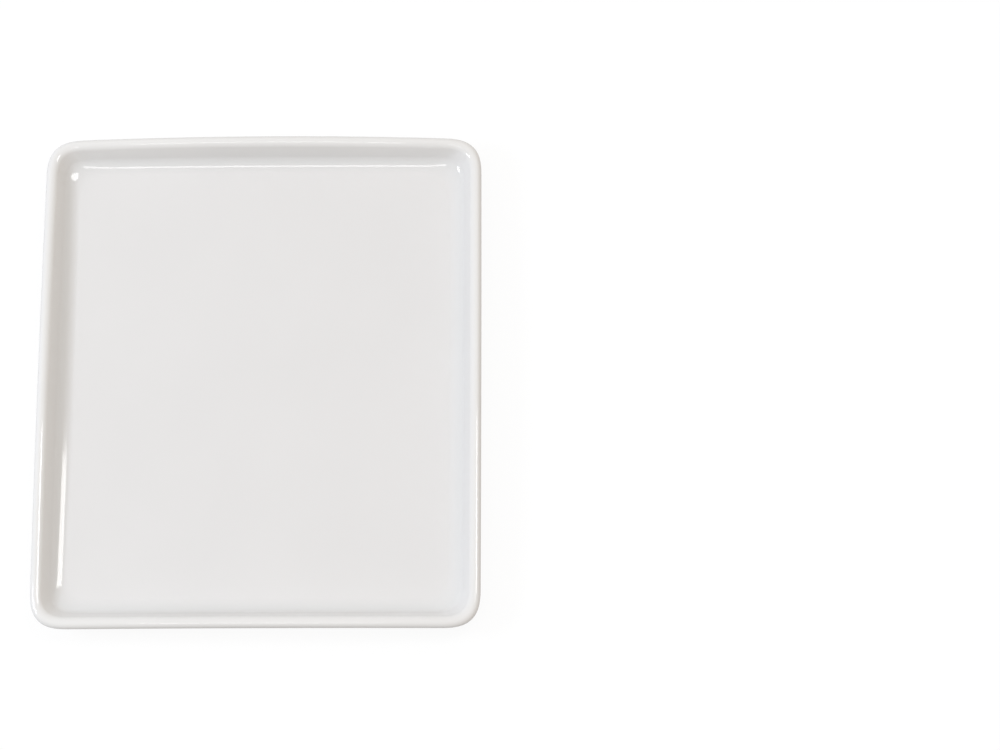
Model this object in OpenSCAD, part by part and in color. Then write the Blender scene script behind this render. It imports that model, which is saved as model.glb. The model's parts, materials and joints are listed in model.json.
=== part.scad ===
// Rectangular porcelain side plate. The fired body has a flat floor, a low wall that leans out to a
// round lip, and a foot ring. A thin coat of glaze covers it and stops short of the foot ring's land,
// so the coat is two separate skins: one over the face, lip and outside, one inside the foot ring.
// The origin is the middle of the foot ring's land. +Z is up, +X is right and +Y is the back.

/* [Plate] */
// Width across the lip, left to right
plate_w = 170; // [120:1:240]
// Depth across the lip, front to back
plate_d = 195; // [120:1:280]
// Depth of the well, from the lip down to the floor
well_depth = 8.5; // [6:0.5:16]
// Plan radius of the floor's corners, where the floor starts to curve up
well_corner_r = 0.5; // [0.5:0.5:30]
// Thickness of the floor, glaze included
floor_t = 4.5; // [3:0.1:7]

/* [Wall] */
// Radius of the lip's outer edge
lip_edge_r = 1.9; // [1.2:0.1:2.5]
// Radius of the lip's inner side, where it rolls down into the well
lip_roll_r = 3; // [1.5:0.1:4]
// Outward lean of the wall from upright, in degrees
wall_lean = 25; // [5:1:35]
// Radius of the hollow between the floor and the wall
hollow_r = 6.5; // [2:0.5:7]
// Radius of the heel, the round edge under the wall
heel_r = 8; // [3:0.5:11]

/* [Foot ring] */
// Height of the foot ring below the floor
foot_h = 3; // [1.5:0.1:6]
// Width of the flat land that the plate stands on
foot_land_w = 2.4; // [1:0.1:6]
// Flat left between the heel and the foot ring
foot_gap = 4.4; // [0.5:0.1:30]
// Slope of the foot ring's sides from upright, in degrees
foot_draft = 14; // [0:1:30]
// Radius of the land's two edges
foot_edge_r = 0.5; // [0.2:0.1:0.8]
// Plan radius of the foot ring's outer corners
foot_corner_r = 9; // [6:0.5:30]

/* [Glaze] */
// Thickness of the glaze coat
glaze_t = 0.25; // [0.15:0.05:0.5]
// Height of the bare band at the foot ring's land
bare_h = 0.9; // [0.8:0.1:1.4]

/* [Hidden] */
$fn = 96;

// Largest turn between two points of a rounded stretch, in degrees
arc_step = 10;

// Step that worked-out sizes are rounded to, so that neighbouring stretches meet exactly
grid = 0.001;

function snap(v) = round(v / grid) * grid;

// Heights of the underside, floor and lip above the table
under_z = foot_h;
floor_z = under_z + floor_t;
lip_z = floor_z + well_depth;

// Wall section, with x = 0 at the outside of the lip and x falling towards the plate's middle.
// The lip's two rounds meet at its crest, and wall_side points square off the wall into the well.
lip_edge_c = [-lip_edge_r, lip_z - lip_edge_r];
lip_roll_c = [-lip_edge_r, lip_z - lip_roll_r];
wall_side = [-cos(wall_lean), sin(wall_lean)];

// A point at a height on the line that runs parallel to the wall, set off from a centre in the lip
function beside_wall(centre, set_off, z) =
    let (p = centre + set_off * wall_side)
    [p[0] - (p[1] - z) * tan(wall_lean), z];

hollow_c = beside_wall(lip_roll_c, lip_roll_r + hollow_r, floor_z + hollow_r);
heel_c = beside_wall(lip_edge_c, heel_r - lip_edge_r, under_z + heel_r);

// Runs of the wall in plan, from the lip's outside to where the floor and the underside turn flat
hollow_run = snap(-hollow_c[0]);
heel_run = snap(-heel_c[0]);
corner_r = hollow_run + well_corner_r;
wall_run = max(corner_r, heel_run);

// Flat middle of the plate, inside the swept wall
mid_w = plate_w - 2 * wall_run;
mid_d = plate_d - 2 * wall_run;

// Foot ring section, with x = 0 at its outside where it leaves the underside
foot_w = plate_w - 2 * (heel_run + foot_gap);
foot_d = plate_d - 2 * (heel_run + foot_gap);
foot_slope = tan(foot_draft);
foot_root_w = snap(foot_land_w + 2 * foot_h * foot_slope);
foot_glaze_x = snap(glaze_t / cos(foot_draft));

function foot_outside(z) = -(foot_h - z) * foot_slope;
function foot_inside(z) = -foot_root_w - foot_outside(z);

function arc(centre, r, from, to) =
    let (steps = ceil(abs(to - from) / arc_step))
    [for (k = [0 : steps]) let (a = from + (to - from) * k / steps) centre + r * [cos(a), sin(a)]];

function tail(list) = [for (k = [1 : len(list) - 1]) list[k]];
function reversed(list) = [for (k = [len(list) - 1 : -1 : 0]) list[k]];

// Outline of the wall section from the floor over the lip to the underside, sunk by a depth
function wall_outline(sunk) = concat(
    [[-wall_run, floor_z - sunk]],
    arc(hollow_c, hollow_r + sunk, 270, 360 - wall_lean),
    arc(lip_roll_c, lip_roll_r - sunk, 180 - wall_lean, 90),
    tail(arc(lip_edge_c, lip_edge_r - sunk, 90, 0)),
    tail(arc(lip_edge_c, lip_edge_r - sunk, 0, -wall_lean)),
    arc(heel_c, heel_r - sunk, -wall_lean, -90),
    [[-wall_run, under_z + sunk]]
);

// Foot ring of the body: bare at the land, and thinner by the glaze above the bare band
function foot_outline(top_z) = concat(
    [[foot_outside(top_z) - foot_glaze_x, top_z], [foot_outside(bare_h) - foot_glaze_x, bare_h]],
    [[foot_outside(bare_h), bare_h]],
    arc([foot_outside(foot_edge_r) - foot_edge_r / cos(foot_draft), foot_edge_r],
        foot_edge_r, -foot_draft, -90),
    arc([foot_inside(foot_edge_r) + foot_edge_r / cos(foot_draft), foot_edge_r],
        foot_edge_r, 270, 180 + foot_draft),
    [[foot_inside(bare_h), bare_h]],
    [[foot_inside(bare_h) + foot_glaze_x, bare_h], [foot_inside(top_z) + foot_glaze_x, top_z]]
);

// Glaze on one side of the foot ring, from the bare band up into the glaze on the underside
function foot_coat(outer_side) =
    let (
        top_z = under_z + glaze_t,
        sunk = outer_side ? -foot_glaze_x : foot_glaze_x,
        low_x = outer_side ? foot_outside(bare_h) : foot_inside(bare_h),
        top_x = outer_side ? foot_outside(top_z) : foot_inside(top_z)
    )
    [[low_x, bare_h], [top_x, top_z], [top_x + sunk, top_z], [low_x + sunk, bare_h]];

// A section swept round a rectangle with round corners: four straight sides and four quarter turns
module swept(section, w, d, r) {
    side = [for (p = section) [snap(p[0]), snap(p[1])]];
    quarter = [for (p = side) [max(r + p[0], 0), p[1]]];
    for (k = [0 : 3]) {
        across = k % 2 == 0 ? w : d;
        along = k % 2 == 0 ? d : w;
        rotate(90 * k) {
            translate([across / 2, along / 2 - r, 0])
                rotate([90, 0, 0])
                    linear_extrude(along - 2 * r)
                        polygon(side);
            translate([across / 2 - r, along / 2 - r, 0])
                rotate_extrude(angle = 90)
                    polygon(quarter);
        }
    }
}

// A flat plate between two heights
module sheet(w, d, low_z, high_z) {
    translate([-w / 2, -d / 2, low_z])
        cube([w, d, high_z - low_z]);
}

// A flat plate with round corners
module round_sheet(w, d, r, low_z, high_z) {
    swept([[-r, low_z], [0, low_z], [0, high_z], [-r, high_z]], w, d, r);
    sheet(w - 2 * r, d - 2 * r, low_z, high_z);
}

// Fired porcelain: floor, wall, lip and foot ring in one piece
module porcelain_body() {
    color("#EFEAE2") {
        swept(wall_outline(glaze_t), plate_w, plate_d, corner_r);
        sheet(mid_w, mid_d, under_z + glaze_t, floor_z - glaze_t);
        swept(foot_outline(under_z + floor_t / 2), foot_w, foot_d, foot_corner_r);
    }
}

// Glaze over the well, the lip, the outside and the foot ring's outer side
module face_glaze() {
    foot_cut = snap(foot_glaze_x / 2);
    color("#E9E7E4") {
        difference() {
            union() {
                swept(concat(wall_outline(0), reversed(wall_outline(glaze_t))), plate_w, plate_d, corner_r);
                sheet(mid_w, mid_d, floor_z - glaze_t, floor_z);
                sheet(mid_w, mid_d, under_z, under_z + glaze_t);
            }
            round_sheet(foot_w - 2 * foot_cut, foot_d - 2 * foot_cut, foot_corner_r - foot_cut,
                under_z - glaze_t, under_z + 2 * glaze_t);
        }
        swept(foot_coat(true), foot_w, foot_d, foot_corner_r);
    }
}

// Glaze on the underside within the foot ring, and on the ring's inner side
module base_glaze() {
    inset = foot_root_w - snap(foot_glaze_x / 2);
    color("#E7E5E1") {
        round_sheet(foot_w - 2 * inset, foot_d - 2 * inset, foot_corner_r - inset,
            under_z, under_z + glaze_t);
        swept(foot_coat(false), foot_w, foot_d, foot_corner_r);
    }
}

porcelain_body();
face_glaze();
base_glaze();
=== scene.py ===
import json
import math

import bpy
from mathutils import Matrix, Vector


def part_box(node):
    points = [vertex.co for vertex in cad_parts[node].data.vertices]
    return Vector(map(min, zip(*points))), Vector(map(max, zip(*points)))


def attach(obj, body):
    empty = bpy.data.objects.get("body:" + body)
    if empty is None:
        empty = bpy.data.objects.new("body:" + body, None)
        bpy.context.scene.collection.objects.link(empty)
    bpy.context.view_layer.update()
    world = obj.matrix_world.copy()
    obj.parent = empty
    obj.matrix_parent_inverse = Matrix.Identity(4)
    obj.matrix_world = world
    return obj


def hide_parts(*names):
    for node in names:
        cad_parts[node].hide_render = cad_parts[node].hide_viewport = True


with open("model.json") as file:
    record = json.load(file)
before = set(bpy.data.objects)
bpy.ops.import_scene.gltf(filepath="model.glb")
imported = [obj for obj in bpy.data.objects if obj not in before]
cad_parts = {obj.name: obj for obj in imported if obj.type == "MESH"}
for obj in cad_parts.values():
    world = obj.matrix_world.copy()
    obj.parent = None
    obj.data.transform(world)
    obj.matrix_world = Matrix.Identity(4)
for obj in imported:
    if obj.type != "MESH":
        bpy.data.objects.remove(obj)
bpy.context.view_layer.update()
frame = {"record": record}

mm = 0.001
scene = bpy.context.scene


# sRGB hex to the linear colour that a socket takes
def linear(hexColour):
    parts = [int(hexColour[i:i + 2], 16) / 255 for i in (1, 3, 5)]
    return [c / 12.92 if c <= 0.04045 else ((c + 0.055) / 1.055) ** 2.4 for c in parts] + [1.0]


# adds a node, sets its options and fills its inputs, by name or number, with values or links
def put(tree, kind, inputs=None, **options):
    node = tree.nodes.new(kind)
    for name, value in options.items():
        setattr(node, name, value)
    for key, value in (inputs or {}).items():
        if isinstance(value, bpy.types.NodeSocket):
            tree.links.new(value, node.inputs[key])
        else:
            node.inputs[key].default_value = value
    return node


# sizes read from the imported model, in mm
faceLow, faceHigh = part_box("face_glaze")
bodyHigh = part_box("porcelain_body")[1]
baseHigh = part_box("base_glaze")[1]
wellFloor = next(m for m in frame["record"]["mounts"] if m["name"] == "well_floor")

plate = dict(
    width=(faceHigh.x - faceLow.x) / mm,
    depth=(faceHigh.y - faceLow.y) / mm,
    rimZ=faceHigh.z / mm,
    floorZ=wellFloor["pos_m"][2] / mm,
    glaze=(faceHigh.z - bodyHigh.z) / mm,
    bareZ=faceLow.z / mm,      # the glaze stops here on the foot ring
    lipEdgeR=1.9,              # lip's outer edge
    lipRollR=3.0,              # lip's inner side, down into the wall
    lipReach=5.0,              # the lip's corners keep one centre this far in
    wallLean=28.0,             # degrees out from upright
    hollowR=4.5,               # foot of the wall, inside
    easeR=9.0,                 # slower start of the hollow, where the floor begins to rise
    easeTilt=30.0,             # slope at which one passes into the other
    heelR=8.0,                 # wall to underside, outside
    cornerR=16.0,              # reach of the soft plan corners at the lip
    cornerPower=3.0,           # 2 is a circle, more is squarer with a softer start
    floorCornerR=13.0,         # reach of the corners where the floor starts to rise
    footGap=4.4,               # from the heel to the foot ring
    footLand=2.4,
    footDraft=14.0,
    footEdgeR=0.5,
    footCornerR=9.0,
    rootR=0.8,                 # glaze gathers in the foot ring's root
    bow=(0.2, 1.3, 0.0),       # left and right, far and near sides stand out this much at their middles
    cornerDroop=1.8,           # the lip is this much lower at the corners
    slump=0.12,                # the floor sinks a little at its middle in the kiln
    wander=0.012,              # slow unevenness of a fired surface
    wanderLength=42.0,
    floorCrowd=1.6,            # the floor's rows crowd towards the hollow
    roundSteps=6,              # rows on each round of the wall, times a piece's fineness
    rootSteps=2,               # and on the foot ring's root
    sideSteps=24,              # columns on half a side
    cornerSteps=34,            # columns on a corner
    weld=0.002,                # points this close become one
)
plate["underZ"] = baseHigh.z / mm - plate["glaze"]

# depth of the glaze on a row: over the lip, below it, on the heel, on flats, in roots and in hollows; it
# paints the glaze lighter over the lip (painted light) and darker in roots and hollows (painted shade)
thin, slight, fair, even, gatheredPaintedShade, pooledPaintedShade = 0.0, 0.3, 0.4, 0.5, 0.6, 1.0

lean = math.radians(plate["wallLean"])
draft = math.radians(plate["footDraft"])
halfW = (plate["width"] - plate["wander"]) / 2     # leaves room for the wander within the model's box
lipX = -plate["lipEdgeR"]
edgeZ = plate["rimZ"] - plate["lipEdgeR"]
rollZ = plate["rimZ"] - plate["lipRollR"]


# x of a line parallel to the wall, at a height; x = 0 is the outside of the lip and x falls inwards
def besideWall(centreZ, setOff, z):
    return lipX - setOff * math.cos(lean) - (centreZ + setOff * math.sin(lean) - z) * math.tan(lean)


ease = math.radians(plate["easeTilt"])
spread = plate["easeR"] - plate["hollowR"]
hollowZ = plate["floorZ"] + plate["easeR"] - spread * math.cos(ease)
hollowX = besideWall(rollZ, plate["lipRollR"] + plate["hollowR"], hollowZ)
easeX = hollowX - spread * math.sin(ease)
heelX = besideWall(edgeZ, plate["heelR"] - plate["lipEdgeR"], plate["underZ"] + plate["heelR"])
footInset = plate["footGap"] - heelX
footRootW = plate["footLand"] + 2 * plate["underZ"] * math.tan(draft)


def footOutside(z):
    return -footInset - (plate["underZ"] - z) * math.tan(draft)


def footInside(z):
    return -footInset - footRootW + (plate["underZ"] - z) * math.tan(draft)


# plan radius of the corners at an inset, above and below the plate; both agree over the lip
aboveRadii = [
    (0, plate["cornerR"]),
    (plate["lipReach"], plate["cornerR"] - plate["lipReach"]),
    (-easeX, plate["floorCornerR"]),
    (halfW, 0),
]
belowRadii = [
    (0, plate["cornerR"]),
    (-heelX, plate["cornerR"] + heelX),
    (footInset, plate["footCornerR"]),
    (footInset + footRootW, plate["footCornerR"] - footRootW),
    (halfW, 0),
]


def cornerRadius(inset, radii):
    for (i0, r0), (i1, r1) in zip(radii, radii[1:]):
        if inset <= i1:
            return r0 + (r1 - r0) * (inset - i0) / (i1 - i0)
    return 0.0


# one row of a section: inset, plan radius, height and depth of glaze, which sets the glaze's painted light
# and shade
def row(x, z, poolShade, radii):
    return (-x, cornerRadius(-x, radii), z, poolShade)


def arcRows(cx, cz, r, start, stop, steps, pools, radii):
    rows = []
    for k in range(steps + 1):
        share = k / steps
        a = math.radians(start + (stop - start) * share)
        poolShade = pools[0] + (pools[1] - pools[0]) * share
        rows.append(row(cx + r * math.cos(a), cz + r * math.sin(a), poolShade, radii))
    return rows


# floor, from the plate's middle out to the hollow
def floorRows(sunk, steps):
    rows = []
    for k in range(steps):
        inset = halfW + (-easeX - halfW) * (1 - (1 - k / steps) ** plate["floorCrowd"])
        rows.append(row(-inset, plate["floorZ"] - sunk, even, aboveRadii))
    return rows


# hollow, wall, lip, outside and heel, from the floor over the lip to the underside
def wallRows(sunk, fine):
    tilt = plate["wallLean"]
    mid = 270 + plate["easeTilt"]
    easeZ = plate["floorZ"] + plate["easeR"]
    heelZ = plate["underZ"] + plate["heelR"]
    easeR, hollowR = plate["easeR"] + sunk, plate["hollowR"] + sunk
    rollR, edgeR, heelR = (plate[name] - sunk for name in ("lipRollR", "lipEdgeR", "heelR"))
    steps = plate["roundSteps"] * fine
    rows = arcRows(easeX, easeZ, easeR, 270, mid, steps, (even, pooledPaintedShade), aboveRadii)
    rows += arcRows(hollowX, hollowZ, hollowR, mid, 360 - tilt, steps, (pooledPaintedShade, even), aboveRadii)[1:]
    rows += arcRows(lipX, rollZ, rollR, 180 - tilt, 90, steps, (slight, thin), aboveRadii)
    rows += arcRows(lipX, edgeZ, edgeR, 90, -tilt, steps, (thin, slight), belowRadii)[1:]
    rows += arcRows(heelX, heelZ, heelR, -tilt, -90, steps, (fair, even), belowRadii)
    return rows


# underside from the heel to the foot ring and down its outer side to the end of the glaze
def outerFootRows(sunk, fine):
    rootR = plate["rootR"] + sunk
    rootZ = plate["underZ"] - plate["rootR"]
    rootX = footOutside(rootZ) + plate["rootR"] / math.cos(draft)
    rows = [row((heelX + rootX) / 2, plate["underZ"] + sunk, even, belowRadii)]
    stop = 180 - plate["footDraft"]
    turns = plate["rootSteps"] * fine
    rows += arcRows(rootX, rootZ, rootR, 90, stop, turns, (gatheredPaintedShade, pooledPaintedShade), belowRadii)
    return rows


# underside inside the foot ring, from the plate's middle out and down the ring's inner side
def recessRows(sunk, steps, fine):
    rootR = plate["rootR"] + sunk
    rootZ = plate["underZ"] - plate["rootR"]
    rootX = footInside(rootZ) - plate["rootR"] / math.cos(draft)
    rows = []
    for k in range(steps):
        inset = halfW + (-rootX - halfW) * k / steps
        rows.append(row(-inset, plate["underZ"] + sunk, even, belowRadii))
    stop = plate["footDraft"]
    turns = plate["rootSteps"] * fine
    rows += arcRows(rootX, rootZ, rootR, 90, stop, turns, (gatheredPaintedShade, pooledPaintedShade), belowRadii)
    return rows


# round end of a glaze coat on the foot ring; way is 1 on the ring's outer side and -1 on its inner side
def glazeEndRows(way, steps):
    thick = plate["glaze"]
    z = plate["bareZ"] + thick
    x = (footOutside(z) if way > 0 else footInside(z)) - way * thick / math.cos(draft)
    start = -plate["footDraft"] if way > 0 else 180 + plate["footDraft"]
    stop = -90 if way > 0 else 270
    return arcRows(x, z, thick, start, stop, steps, (slight, thin), belowRadii)


# bare foot ring of the body between the two coats, from its inner side to its outer side
def landRows(steps):
    edge = plate["footEdgeR"]
    inX = footInside(edge) + edge / math.cos(draft)
    outX = footOutside(edge) - edge / math.cos(draft)
    gap = plate["glaze"] / math.cos(draft)
    bareZ = plate["bareZ"]
    rows = [row(x, bareZ, thin, belowRadii) for x in (footInside(bareZ) + gap, footInside(bareZ))]
    rows += arcRows(inX, edge, edge, 180 + plate["footDraft"], 270, steps, (thin, thin), belowRadii)
    rows += arcRows(outX, edge, edge, -90, -plate["footDraft"], steps, (thin, thin), belowRadii)
    rows += [row(x, bareZ, thin, belowRadii) for x in (footOutside(bareZ), footOutside(bareZ) - gap)]
    return rows


# sweeps a section line round a rectangle with round corners, then bows and settles it as firing does
def makeSweepTree():
    tree = bpy.data.node_groups.new("plateSweep", "GeometryNodeTree")
    tree.is_modifier = True
    sockets = tree.interface
    sockets.new_socket("Section", in_out="INPUT", socket_type="NodeSocketGeometry")
    for name in ("Width", "Depth", "Floor height", "Rim height", "Bare height", "Corner power",
                 "Corner droop", "Slump", "Wander", "Wander length", "Weld"):
        sockets.new_socket(name, in_out="INPUT", socket_type="NodeSocketFloat")
    sockets.new_socket("Bow", in_out="INPUT", socket_type="NodeSocketVector")
    sockets.new_socket("Side steps", in_out="INPUT", socket_type="NodeSocketInt")
    sockets.new_socket("Corner steps", in_out="INPUT", socket_type="NodeSocketInt")
    sockets.new_socket("Material", in_out="INPUT", socket_type="NodeSocketMaterial")
    sockets.new_socket("Plate", in_out="OUTPUT", socket_type="NodeSocketGeometry")
    given = put(tree, "NodeGroupInput").outputs

    # a grid of rows along the section and columns round the plate, four quarters and one to close it
    rowCount = put(tree, "GeometryNodeAttributeDomainSize", {0: given["Section"]}).outputs["Point Count"]
    quarter = put(tree, "ShaderNodeMath", {0: given["Side steps"], 1: 2.0, 2: given["Corner steps"]},
                  operation="MULTIPLY_ADD").outputs[0]
    columns = put(tree, "ShaderNodeMath", {0: quarter, 1: 4.0, 2: 1.0}, operation="MULTIPLY_ADD").outputs[0]
    grid = put(tree, "GeometryNodeMeshGrid",
               {"Vertices X": columns, "Vertices Y": rowCount}).outputs["Mesh"]
    index = put(tree, "GeometryNodeInputIndex").outputs[0]
    nudged = put(tree, "ShaderNodeMath", {0: index, 1: 0.5}, operation="ADD").outputs[0]
    ratio = put(tree, "ShaderNodeMath", {0: nudged, 1: rowCount}, operation="DIVIDE").outputs[0]
    column = put(tree, "ShaderNodeMath", {0: ratio}, operation="FLOOR").outputs[0]
    started = put(tree, "ShaderNodeMath", {0: column, 1: rowCount}, operation="MULTIPLY").outputs[0]
    rowNow = put(tree, "ShaderNodeMath", {0: index, 1: started}, operation="SUBTRACT").outputs[0]

    # the section's inset, plan radius and height on this row
    place = put(tree, "GeometryNodeInputPosition").outputs[0]
    onRow = put(tree, "GeometryNodeSampleIndex",
                {"Geometry": given["Section"], "Value": place, "Index": rowNow},
                data_type="FLOAT_VECTOR").outputs[0]
    part = put(tree, "ShaderNodeSeparateXYZ", {0: onRow}).outputs
    inset, radius, height = part[0], part[1], part[2]

    # each quarter is half a side, a corner and half a side, mirrored into the four quarters
    step = put(tree, "ShaderNodeMath", {0: column, 1: quarter}, operation="PINGPONG").outputs[0]
    cornerEnd = put(tree, "ShaderNodeMath", {0: given["Side steps"], 1: given["Corner steps"]},
                    operation="ADD").outputs[0]
    alongY = put(tree, "ShaderNodeMapRange",
                 {0: step, 1: 0.0, 2: given["Side steps"], 3: 0.0, 4: 1.0}).outputs[0]
    alongX = put(tree, "ShaderNodeMapRange", {0: step, 1: cornerEnd, 2: quarter, 3: 1.0, 4: 0.0}).outputs[0]
    turn = put(tree, "ShaderNodeMapRange",
               {0: step, 1: given["Side steps"], 2: cornerEnd, 3: 0.0, 4: math.pi / 2}).outputs[0]
    turnX = put(tree, "ShaderNodeMath", {0: turn}, operation="COSINE").outputs[0]
    turnY = put(tree, "ShaderNodeMath", {0: turn}, operation="SINE").outputs[0]
    powerX = put(tree, "ShaderNodeMath", {0: turnX, 1: given["Corner power"]}, operation="POWER").outputs[0]
    powerY = put(tree, "ShaderNodeMath", {0: turnY, 1: given["Corner power"]}, operation="POWER").outputs[0]
    powers = put(tree, "ShaderNodeMath", {0: powerX, 1: powerY}, operation="ADD").outputs[0]
    root = put(tree, "ShaderNodeMath", {0: -1.0, 1: given["Corner power"]}, operation="DIVIDE").outputs[0]
    swell = put(tree, "ShaderNodeMath", {0: powers, 1: root}, operation="POWER").outputs[0]
    reachOut = put(tree, "ShaderNodeMath", {0: swell, 1: radius}, operation="MULTIPLY").outputs[0]
    pace = put(tree, "ShaderNodeMath", {0: math.pi / 2, 1: quarter}, operation="DIVIDE").outputs[0]
    bearing = put(tree, "ShaderNodeMath", {0: column, 1: pace}, operation="MULTIPLY").outputs[0]
    bearingX = put(tree, "ShaderNodeMath", {0: bearing}, operation="COSINE").outputs[0]
    bearingY = put(tree, "ShaderNodeMath", {0: bearing}, operation="SINE").outputs[0]
    compass = put(tree, "ShaderNodeCombineXYZ", {0: bearingX, 1: bearingY}).outputs[0]
    signs = put(tree, "ShaderNodeVectorMath", {0: compass}, operation="SIGN").outputs[0]

    # the point on this row's rounded rectangle, in the first quarter
    wholeSize = put(tree, "ShaderNodeCombineXYZ", {0: given["Width"], 1: given["Depth"]}).outputs[0]
    halfSize = put(tree, "ShaderNodeVectorMath", {0: wholeSize, "Scale": 0.5}, operation="SCALE").outputs[0]
    pulledIn = put(tree, "ShaderNodeMath", {0: inset, 1: radius}, operation="ADD").outputs[0]
    core = put(tree, "ShaderNodeVectorMath", {0: halfSize, 1: pulledIn}, operation="SUBTRACT").outputs[0]
    along = put(tree, "ShaderNodeCombineXYZ", {0: alongX, 1: alongY}).outputs[0]
    facing = put(tree, "ShaderNodeCombineXYZ", {0: turnX, 1: turnY}).outputs[0]
    corner = put(tree, "ShaderNodeVectorMath", {0: facing, "Scale": reachOut}, operation="SCALE").outputs[0]
    ring = put(tree, "ShaderNodeVectorMath", {0: core, 1: along, 2: corner},
               operation="MULTIPLY_ADD").outputs[0]

    # the sides bow out: the corners draw in by the square of the way along each side
    share = put(tree, "ShaderNodeVectorMath", {0: ring, 1: halfSize}, operation="DIVIDE").outputs[0]
    square = put(tree, "ShaderNodeVectorMath", {0: share, 1: share}, operation="MULTIPLY").outputs[0]
    cube = put(tree, "ShaderNodeVectorMath", {0: square, 1: share}, operation="MULTIPLY").outputs[0]
    squared = put(tree, "ShaderNodeSeparateXYZ", {0: square}).outputs
    swapped = put(tree, "ShaderNodeCombineXYZ", {0: squared[1], 1: squared[0]}).outputs[0]
    bend = put(tree, "ShaderNodeVectorMath", {0: swapped, 1: cube}, operation="MULTIPLY").outputs[0]
    bows = put(tree, "ShaderNodeSeparateXYZ", {0: given["Bow"]}).outputs
    signY = put(tree, "ShaderNodeSeparateXYZ", {0: signs}).outputs[1]
    bowY = put(tree, "ShaderNodeMapRange", {0: signY, 1: -1.0, 2: 1.0, 3: bows[2], 4: bows[1]}).outputs[0]
    bowNow = put(tree, "ShaderNodeCombineXYZ", {0: bows[0], 1: bowY}).outputs[0]
    drawn = put(tree, "ShaderNodeVectorMath", {0: bend, 1: bowNow}, operation="MULTIPLY").outputs[0]
    bowed = put(tree, "ShaderNodeVectorMath", {0: ring, 1: drawn}, operation="SUBTRACT").outputs[0]
    plan = put(tree, "ShaderNodeVectorMath", {0: bowed, 1: signs}, operation="MULTIPLY").outputs[0]

    # the lip droops at the corners, and the floor slumps at the middle
    cornerShare = put(tree, "ShaderNodeMath", {0: squared[0], 1: squared[1]},
                      operation="MULTIPLY").outputs[0]
    upShare = put(tree, "ShaderNodeMapRange",
                  {0: height, 1: given["Floor height"], 2: given["Rim height"]}).outputs[0]
    droopShare = put(tree, "ShaderNodeMath", {0: cornerShare, 1: upShare}, operation="MULTIPLY").outputs[0]
    droop = put(tree, "ShaderNodeMath", {0: droopShare, 1: given["Corner droop"]},
                operation="MULTIPLY").outputs[0]
    fromEdge = put(tree, "ShaderNodeVectorMath", {0: (1.0, 1.0, 1.0), 1: square},
                   operation="SUBTRACT").outputs[0]
    fromEdges = put(tree, "ShaderNodeSeparateXYZ", {0: fromEdge}).outputs
    loose = put(tree, "ShaderNodeMapRange",
                {0: height, 1: given["Bare height"], 2: given["Floor height"]}).outputs[0]
    midway = put(tree, "ShaderNodeMath", {0: fromEdges[0], 1: fromEdges[1]},
                 operation="MULTIPLY").outputs[0]
    midShare = put(tree, "ShaderNodeMath", {0: midway, 1: loose}, operation="MULTIPLY").outputs[0]
    sink = put(tree, "ShaderNodeMath", {0: midShare, 1: given["Slump"], 2: droop},
               operation="MULTIPLY_ADD").outputs[0]
    settled = put(tree, "ShaderNodeMath", {0: height, 1: sink}, operation="SUBTRACT").outputs[0]
    planXY = put(tree, "ShaderNodeSeparateXYZ", {0: plan}).outputs
    formed = put(tree, "ShaderNodeCombineXYZ", {0: planXY[0], 1: planXY[1], 2: settled}).outputs[0]

    # slow unevenness everywhere but on the bare land: both ways in plan, and only downwards
    fineness = put(tree, "ShaderNodeMath", {0: 1.0, 1: given["Wander length"]},
                   operation="DIVIDE").outputs[0]
    cloud = put(tree, "ShaderNodeTexNoise",
                {"Vector": formed, "Scale": fineness, "Detail": 1.0}).outputs["Color"]
    swing = put(tree, "ShaderNodeVectorMath", {0: cloud, 1: (0.5, 0.5, 1.0)},
                operation="SUBTRACT").outputs[0]
    reach = put(tree, "ShaderNodeMath", {0: loose, 1: given["Wander"]}, operation="MULTIPLY").outputs[0]
    shift = put(tree, "ShaderNodeVectorMath", {0: swing, "Scale": reach}, operation="SCALE").outputs[0]
    fired = put(tree, "ShaderNodeVectorMath", {0: formed, 1: shift}, operation="ADD").outputs[0]

    # the glaze's depth, which paints light over the lip and shade in the hollows, rides along as an
    # attribute; the seam and the middle are welded
    poolShade = put(tree, "GeometryNodeInputNamedAttribute", {"Name": "poolShade"}, data_type="FLOAT").outputs[0]
    poolNow = put(tree, "GeometryNodeSampleIndex",
                  {"Geometry": given["Section"], "Value": poolShade, "Index": rowNow},
                  data_type="FLOAT").outputs[0]
    coated = put(tree, "GeometryNodeStoreNamedAttribute",
                 {"Geometry": grid, "Name": "poolShade", "Value": poolNow},
                 data_type="FLOAT", domain="POINT").outputs[0]
    placed = put(tree, "GeometryNodeSetPosition", {"Geometry": coated, "Position": fired}).outputs[0]
    welded = put(tree, "GeometryNodeMergeByDistance",
                 {"Geometry": placed, "Distance": given["Weld"]}).outputs[0]
    smooth = put(tree, "GeometryNodeSetShadeSmooth", {"Geometry": welded}).outputs[0]
    real = put(tree, "GeometryNodeRealizeInstances", {"Geometry": smooth}).outputs[0]
    painted = put(tree, "GeometryNodeSetMaterial",
                  {"Geometry": real, "Material": given["Material"]}).outputs[0]
    put(tree, "NodeGroupOutput", {0: painted})
    return tree


sweepTree = makeSweepTree()
print("plate sweep tree:", len(sweepTree.nodes), "nodes")


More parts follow.
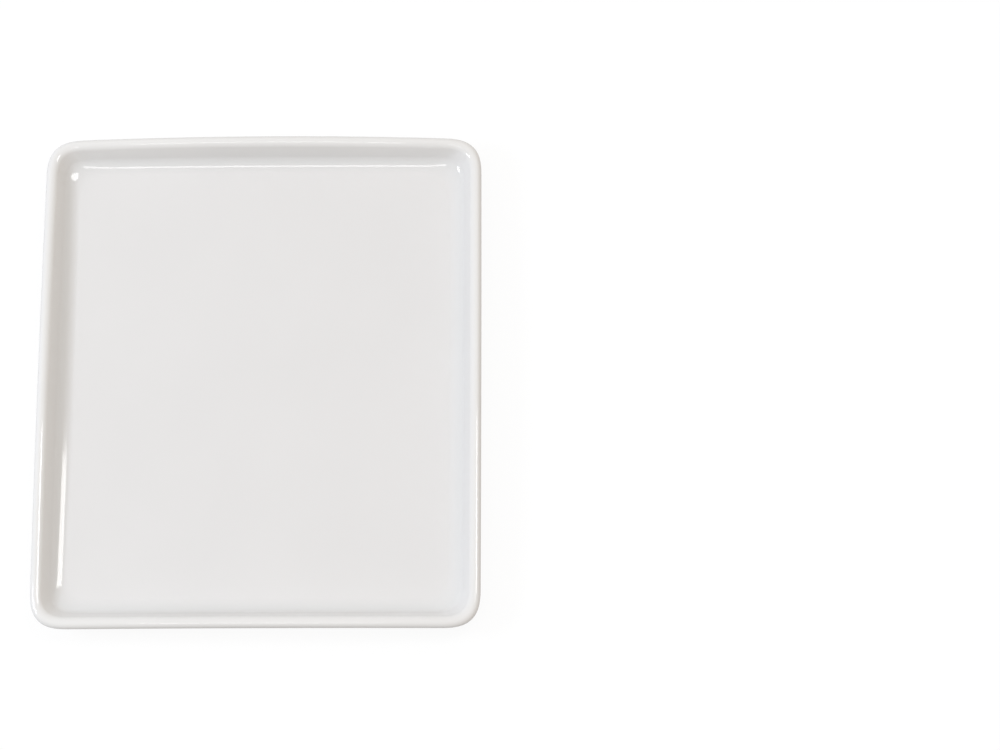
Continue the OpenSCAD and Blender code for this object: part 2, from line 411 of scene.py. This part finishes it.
# turns section rows into a finished piece
def pressPiece(name, rows, material):
    mesh = bpy.data.meshes.new(name)
    points = [[v * mm for v in r[:3]] for r in rows]
    edges = [[k, k + 1] for k in range(len(rows) - 1)]
    mesh.from_pydata(points, edges, [])
    mesh.attributes.new("poolShade", "FLOAT", "POINT").data.foreach_set("value", [r[3] for r in rows])
    piece = bpy.data.objects.new(name, mesh)
    scene.collection.objects.link(piece)
    sweep = piece.modifiers.new("sweep", "NODES")
    sweep.node_group = sweepTree
    values = {
        "Width": 2 * halfW * mm,
        "Depth": (plate["depth"] - plate["wander"]) * mm,
        "Floor height": plate["floorZ"] * mm,
        "Rim height": plate["rimZ"] * mm,
        "Bare height": plate["bareZ"] * mm,
        "Corner power": plate["cornerPower"],
        "Bow": [b * mm for b in plate["bow"]],
        "Corner droop": plate["cornerDroop"] * mm,
        "Slump": plate["slump"] * mm,
        "Wander": plate["wander"] * mm,
        "Wander length": plate["wanderLength"] * mm,
        "Weld": plate["weld"] * mm,
        "Side steps": plate["sideSteps"],
        "Corner steps": plate["cornerSteps"],
        "Material": material,
    }
    for socket in sweepTree.interface.items_tree:
        if socket.name in values:
            sweep[socket.identifier] = values[socket.name]
    bpy.context.view_layer.update()
    made = bpy.data.meshes.new_from_object(piece.evaluated_get(bpy.context.evaluated_depsgraph_get()))
    piece.modifiers.clear()
    piece.data = made
    bpy.data.meshes.remove(mesh)
    made.name = name
    print(name, len(made.vertices), "points", len(made.polygons), "faces")
    return piece


# Vitreous feldspar glaze, dipped and fired glossy: a hard, wet shine over clean white. Its colour is
# painted lighter over the lip, which is painted light, and darker in the hollows and roots, which is
# painted shade with a touch of the cooler tint of pooled glaze.
def makeGlaze():
    look = dict(even="#E9E8E7", pooledPaintedShade="#E5E5E4", thin="#F0EFED", roughness=0.05, ior=1.5,
                cloudSize=38.0, cloudRange=(0.3, 0.7), tones=(0.985, 1.0), glosses=(0.8, 1.2),
                peelSize=7.0, peelDepth=0.001)
    material = bpy.data.materials.new("whiteFeldsparGlaze")
    material.use_nodes = True
    tree = material.node_tree
    tree.nodes.clear()
    where = put(tree, "ShaderNodeTexCoord").outputs["Object"]
    # the glaze depth mask that places the painted light on the lip and the painted shade in hollows and
    # roots
    poolShade = put(tree, "ShaderNodeAttribute", attribute_name="poolShade").outputs["Fac"]
    ramp = put(tree, "ShaderNodeValToRGB", {0: poolShade})
    # painted light: this end of the ramp makes the glaze lighter where it thins over the lip
    ramp.color_ramp.elements[0].color = linear(look["thin"])
    # painted shade: this end of the ramp makes the glaze darker in hollows and roots, with a slight cool
    # tint of pooled glaze
    ramp.color_ramp.elements[1].color = linear(look["pooledPaintedShade"])
    ramp.color_ramp.elements.new(even).color = linear(look["even"])
    cloud = put(tree, "ShaderNodeTexNoise",
                {"Vector": where, "Scale": 1 / (look["cloudSize"] * mm), "Detail": 2.0}).outputs["Fac"]
    low, high = look["cloudRange"]
    dimmest, lightest = look["tones"]
    tone = put(tree, "ShaderNodeMapRange", {0: cloud, 1: low, 2: high, 3: dimmest, 4: lightest}).outputs[0]
    colour = put(tree, "ShaderNodeVectorMath", {0: ramp.outputs[0], "Scale": tone},
                 operation="SCALE").outputs[0]
    slick, dull = (look["roughness"] * share for share in look["glosses"])
    gloss = put(tree, "ShaderNodeMapRange", {0: cloud, 1: low, 2: high, 3: slick, 4: dull}).outputs[0]
    peel = put(tree, "ShaderNodeTexNoise",
               {"Vector": where, "Scale": 1 / (look["peelSize"] * mm), "Detail": 1.0}).outputs["Fac"]
    bump = put(tree, "ShaderNodeBump",
               {"Height": peel, "Strength": 1.0, "Distance": look["peelDepth"] * mm}).outputs[0]
    shader = put(tree, "ShaderNodeBsdfPrincipled",
                 {"Base Color": colour, "Roughness": gloss, "IOR": look["ior"], "Normal": bump})
    put(tree, "ShaderNodeOutputMaterial", {"Surface": shader.outputs[0]})
    return material


# Bare fired porcelain, sponged before firing: dry, slightly warm, with a fine sugary grain
# and faint grey rubbing where the foot ring has stood on shelves.
def makeBare():
    look = dict(clean="#EDE7DC", rubbed="#CFCAC1", roughness=0.72, roughSpread=0.1, ior=1.5,
                grainSize=0.35, grainDepth=0.02, grainStrength=0.6,
                rubSize=9.0, rubRange=(0.5, 0.75), rubMost=0.8)
    material = bpy.data.materials.new("barePorcelain")
    material.use_nodes = True
    tree = material.node_tree
    tree.nodes.clear()
    where = put(tree, "ShaderNodeTexCoord").outputs["Object"]
    grain = put(tree, "ShaderNodeTexNoise",
                {"Vector": where, "Scale": 1 / (look["grainSize"] * mm), "Detail": 3.0}).outputs["Fac"]
    rub = put(tree, "ShaderNodeTexNoise",
              {"Vector": where, "Scale": 1 / (look["rubSize"] * mm), "Detail": 4.0}).outputs["Fac"]
    low, high = look["rubRange"]
    rubbed = put(tree, "ShaderNodeMapRange",
                 {0: rub, 1: low, 2: high, 3: 0.0, 4: look["rubMost"]}).outputs[0]
    colour = put(tree, "ShaderNodeMix", {0: rubbed, 6: linear(look["clean"]), 7: linear(look["rubbed"])},
                 data_type="RGBA").outputs[2]
    smoothest, roughest = look["roughness"] - look["roughSpread"], look["roughness"] + look["roughSpread"]
    rough = put(tree, "ShaderNodeMapRange", {0: grain, 3: smoothest, 4: roughest}).outputs[0]
    bump = put(tree, "ShaderNodeBump",
               {"Height": grain, "Strength": look["grainStrength"],
                "Distance": look["grainDepth"] * mm}).outputs[0]
    shader = put(tree, "ShaderNodeBsdfPrincipled",
                 {"Base Color": colour, "Roughness": rough, "IOR": look["ior"], "Normal": bump})
    put(tree, "ShaderNodeOutputMaterial", {"Surface": shader.outputs[0]})
    return material


glaze = makeGlaze()
bare = makeBare()
print("materials:", glaze.name, bare.name)

# rows of each piece; the back of a coat has the rows of the body that it lies on
coat = plate["glaze"]
bodyForm = dict(floorSteps=12, recessSteps=8, fine=2, landSteps=6)
faceCoat = dict(floorSteps=26, fine=4, endSteps=4)
baseCoat = dict(recessSteps=14, fine=4, endSteps=4)
bodyFloor = floorRows(coat, bodyForm["floorSteps"])
bodyWall = wallRows(coat, bodyForm["fine"])
bodyFoot = outerFootRows(coat, bodyForm["fine"])
bodyRecess = recessRows(coat, bodyForm["recessSteps"], bodyForm["fine"])

# face glaze: along the body from the middle of the floor to the foot ring, then back on the outside
faceRows = bodyFloor + bodyWall + bodyFoot + glazeEndRows(1, faceCoat["endSteps"])[::-1]
faceRows += outerFootRows(0, faceCoat["fine"])[::-1] + wallRows(0, faceCoat["fine"])[::-1]
faceRows += floorRows(0, faceCoat["floorSteps"])[::-1]
faceGlaze = pressPiece("faceGlaze", faceRows, glaze)

# base glaze: the face of the recess from its middle to the foot ring, then back along the body
baseRows = recessRows(0, baseCoat["recessSteps"], baseCoat["fine"])
baseRows += glazeEndRows(-1, baseCoat["endSteps"]) + bodyRecess[::-1]
baseGlaze = pressPiece("baseGlaze", baseRows, glaze)

# body: underside, foot ring with its bare land, outside, lip, wall and floor
bodyRows = bodyRecess + landRows(bodyForm["landSteps"]) + bodyFoot[::-1] + bodyWall[::-1] + bodyFloor[::-1]
porcelainBody = pressPiece("porcelainBody", bodyRows, bare)

for piece, node, slot in (
    (faceGlaze, "face_glaze", "white_glaze"),
    (baseGlaze, "base_glaze", "white_glaze"),
    (porcelainBody, "porcelain_body", "bare_porcelain"),
):
    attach(piece, "root")
    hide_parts(node)
print("pieces ride on the plate")

# camera: the photograph's view, in mm and degrees; the plate stands left of the frame's middle
view = dict(aim=(92.11, 0.32, 14.4), azimuth=3.69, elevation=74.5, distance=1216.8, roll=3.822,
            lens=114.66, sensor=36.0)
azimuth = math.radians(view["azimuth"])
elevation = math.radians(view["elevation"])
level = math.cos(elevation)
back = Vector((math.sin(azimuth) * level, -math.cos(azimuth) * level, math.sin(elevation)))
cameraData = bpy.data.cameras.new("photoCamera")
cameraData.lens = view["lens"]
cameraData.sensor_width = view["sensor"]
camera = bpy.data.objects.new("photoCamera", cameraData)
scene.collection.objects.link(camera)
lookDown = (-back).to_track_quat("-Z", "Y").to_matrix().to_4x4()
roll = Matrix.Rotation(math.radians(-view["roll"]), 4, "Z")
stand = Vector(view["aim"]) * mm + back * view["distance"] * mm
camera.matrix_world = Matrix.Translation(stand) @ (lookDown @ roll)
scene.camera = camera
print("camera at", [round(v, 3) for v in camera.location])


# 1 for the camera's rays and for reflections and refractions, which see plain white round the plate
def seenAsWhite(tree):
    rays = put(tree, "ShaderNodeLightPath").outputs
    seen = rays["Is Camera Ray"]
    for kind in ("Is Glossy Ray", "Is Transmission Ray"):
        seen = put(tree, "ShaderNodeMath", {0: seen, 1: rays[kind]}, operation="MAXIMUM").outputs[0]
    return seen


# floor: a white table whose own light only lifts what the camera and reflections see of it
studio = dict(floorSize=6.0, clear=0.03, floorColour="#BEBEBE", lift=0.8, liftStrength=1.14)


def makePaper():
    material = bpy.data.materials.new("whitePaper")
    material.use_nodes = True
    tree = material.node_tree
    tree.nodes.clear()
    lifted = put(tree, "ShaderNodeMath", {0: seenAsWhite(tree), 1: studio["lift"]},
                 operation="MULTIPLY").outputs[0]
    matte = put(tree, "ShaderNodeBsdfDiffuse", {"Color": linear(studio["floorColour"])}).outputs[0]
    glow = put(tree, "ShaderNodeEmission", {"Strength": studio["liftStrength"]}).outputs[0]
    mixed = put(tree, "ShaderNodeMixShader", {0: lifted, 1: matte, 2: glow}).outputs[0]
    put(tree, "ShaderNodeOutputMaterial", {"Surface": mixed})
    return material


half = studio["floorSize"] / 2
low = -studio["clear"] * mm
floorMesh = bpy.data.meshes.new("whiteTable")
floorMesh.from_pydata([(-half, -half, low), (half, -half, low), (half, half, low), (-half, half, low)],
                      [], [(0, 1, 2, 3)])
floorMesh.materials.append(makePaper())
floor = bpy.data.objects.new("whiteTable", floorMesh)
scene.collection.objects.link(floor)


# a white room with a share of light from each side, white to the camera and in reflections
def makeRoom():
    room = dict(
        all=(0.31, 0.295, 0.265),
        left=(0.635, 0.63, 0.705),
        right=(0.325, 0.26, 0.21),
        far=(0.265, 0.28, 0.295),
        power=4.0,             # higher is a narrower share from each side
    )
    slope = math.sqrt(0.5)     # the shares come from halfway up
    axes = dict(left=(-slope, 0, slope), right=(slope, 0, slope), far=(0, slope, slope))
    world = bpy.data.worlds.new("whiteRoom")
    world.use_nodes = True
    tree = world.node_tree
    tree.nodes.clear()
    way = put(tree, "ShaderNodeTexCoord").outputs["Generated"]
    light = room["all"]
    for side, axis in axes.items():
        facing = put(tree, "ShaderNodeVectorMath", {0: way, 1: axis},
                     operation="DOT_PRODUCT").outputs["Value"]
        towards = put(tree, "ShaderNodeMath", {0: facing, 1: 0.0}, operation="MAXIMUM").outputs[0]
        share = put(tree, "ShaderNodeMath", {0: towards, 1: room["power"]}, operation="POWER").outputs[0]
        light = put(tree, "ShaderNodeVectorMath", {0: share, 1: room[side], 2: light},
                    operation="MULTIPLY_ADD").outputs[0]
    colour = put(tree, "ShaderNodeMix", {0: seenAsWhite(tree), 6: light, 7: (1, 1, 1, 1)},
                 data_type="RGBA").outputs[2]
    sky = put(tree, "ShaderNodeBackground", {"Color": colour}).outputs[0]
    put(tree, "ShaderNodeOutputWorld", {"Surface": sky})
    return world


scene.world = makeRoom()
print("stage:", floor.name, scene.world.name)

# softboxes round the plate, in metres; radiance is what a mirror would show of each
lamps = {
    "leftSoftbox": dict(place=(-0.865, -0.08, 0.835), aim=(0, -0.08, 0), size=(0.34, 0.27),
                        radiance=15.8, tint="#E7F3FF"),
    "rightSoftbox": dict(place=(0.375, 0.167, 1.14), aim=(-0.07, 0.167, 0), size=(0.22, 0.44),
                         radiance=8.0, tint="#FFFFFF"),
    "cameraPanel": dict(place=(-0.108, -0.26, 1.17), aim=(-0.108, 0.08, 0), size=(0.29, 0.15),
                        radiance=5.2, tint="#FFFFFF"),
}
for name, lamp in lamps.items():
    data = bpy.data.lights.new(name, "AREA")
    data.shape = "RECTANGLE"
    data.size, data.size_y = lamp["size"]
    data.energy = lamp["radiance"] * math.pi * lamp["size"][0] * lamp["size"][1]
    data.color = linear(lamp["tint"])[:3]
    box = bpy.data.objects.new(name, data)
    scene.collection.objects.link(box)
    box.location = lamp["place"]
    box.rotation_euler = (Vector(lamp["aim"]) - box.location).to_track_quat("-Z", "Y").to_euler()
print("lamps:", ", ".join(lamps))

scene.view_settings.view_transform = "Standard"
